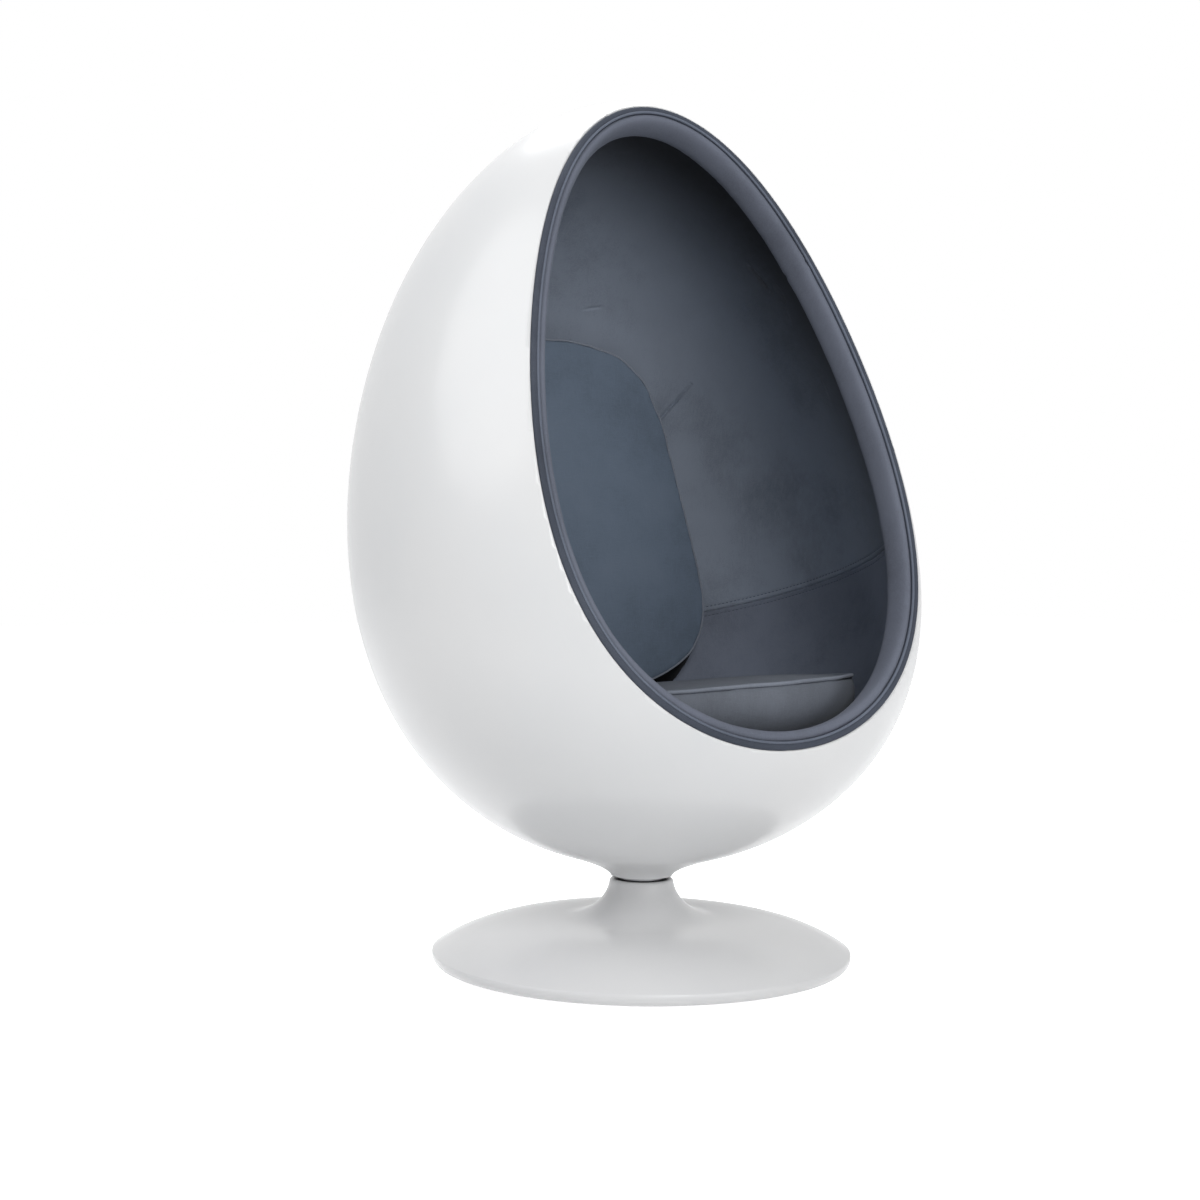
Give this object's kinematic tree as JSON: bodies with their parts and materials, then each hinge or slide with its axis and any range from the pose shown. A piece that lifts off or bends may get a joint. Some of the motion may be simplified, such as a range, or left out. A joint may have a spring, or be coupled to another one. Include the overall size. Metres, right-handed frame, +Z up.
{
  "type": "pod chair",
  "caption": "Egg-shaped swivel lounge chair: glossy pod with a wide leaning mouth, padded lining, seat and back cushions, on a round trumpet base.",
  "frame": {"origin": "middle of the round base, at floor level, on the swivel axis", "axes": "+Z up along the swivel axis, -Y out of the pod's mouth (the way a seated person faces), +X to the seated person's left"},
  "size_m": [0.8601, 0.8517, 1.2996],
  "materials": {
    "white_gloss": "gloss lacquer on a moulded shell",
    "white_paint": "gloss paint",
    "steel": "brushed",
    "dark_plastic": "matte",
    "rubber_foot": "matte",
    "plywood": "bare plywood",
    "timber": "bare timber",
    "backing_board": "dark covered board",
    "lining_cloth": "fine felted wool, slate grey",
    "rim_cloth": "fine felted wool, slate grey",
    "dark_trim": "dark welt",
    "piping_cloth": "piping in slate grey wool",
    "seat_cloth": "fine felted wool, slate grey",
    "back_cloth": "fine felted wool, blue slate"
  },
  "bodies": {
    "base": {"base_shell": "white_paint", "base_plate": "steel", "foot_pad": "rubber_foot", "post": "steel", "post_bolts": "steel", "neck_collar": "dark_plastic", "thrust_washer": "dark_plastic", "stop_collar": "steel", "post_cap": "dark_plastic"},
    "pod": {"pod_shell": "white_gloss", "swivel_sleeve": "steel", "lower_bush": "dark_plastic", "upper_bush": "dark_plastic", "sleeve_bolts": "steel", "seat_board": "plywood", "board_bearers": "timber", "board_screws": "steel", "lining_lower": "lining_cloth", "lining_upper": "lining_cloth", "rim_backing": "backing_board", "rim_welt": "dark_trim", "rim_roll": "rim_cloth", "rim_piping": "piping_cloth", "seat_cushion": "seat_cloth", "seat_piping": "piping_cloth", "back_cushion": "back_cloth", "back_piping": "piping_cloth"}
  },
  "joints": [
    {"name": "pod_swivel", "type": "hinge", "parent": "base", "child": "pod", "pos_m": [0, 0, 0.126], "axis": [0, 0, 1], "continuous": true}
  ]
}
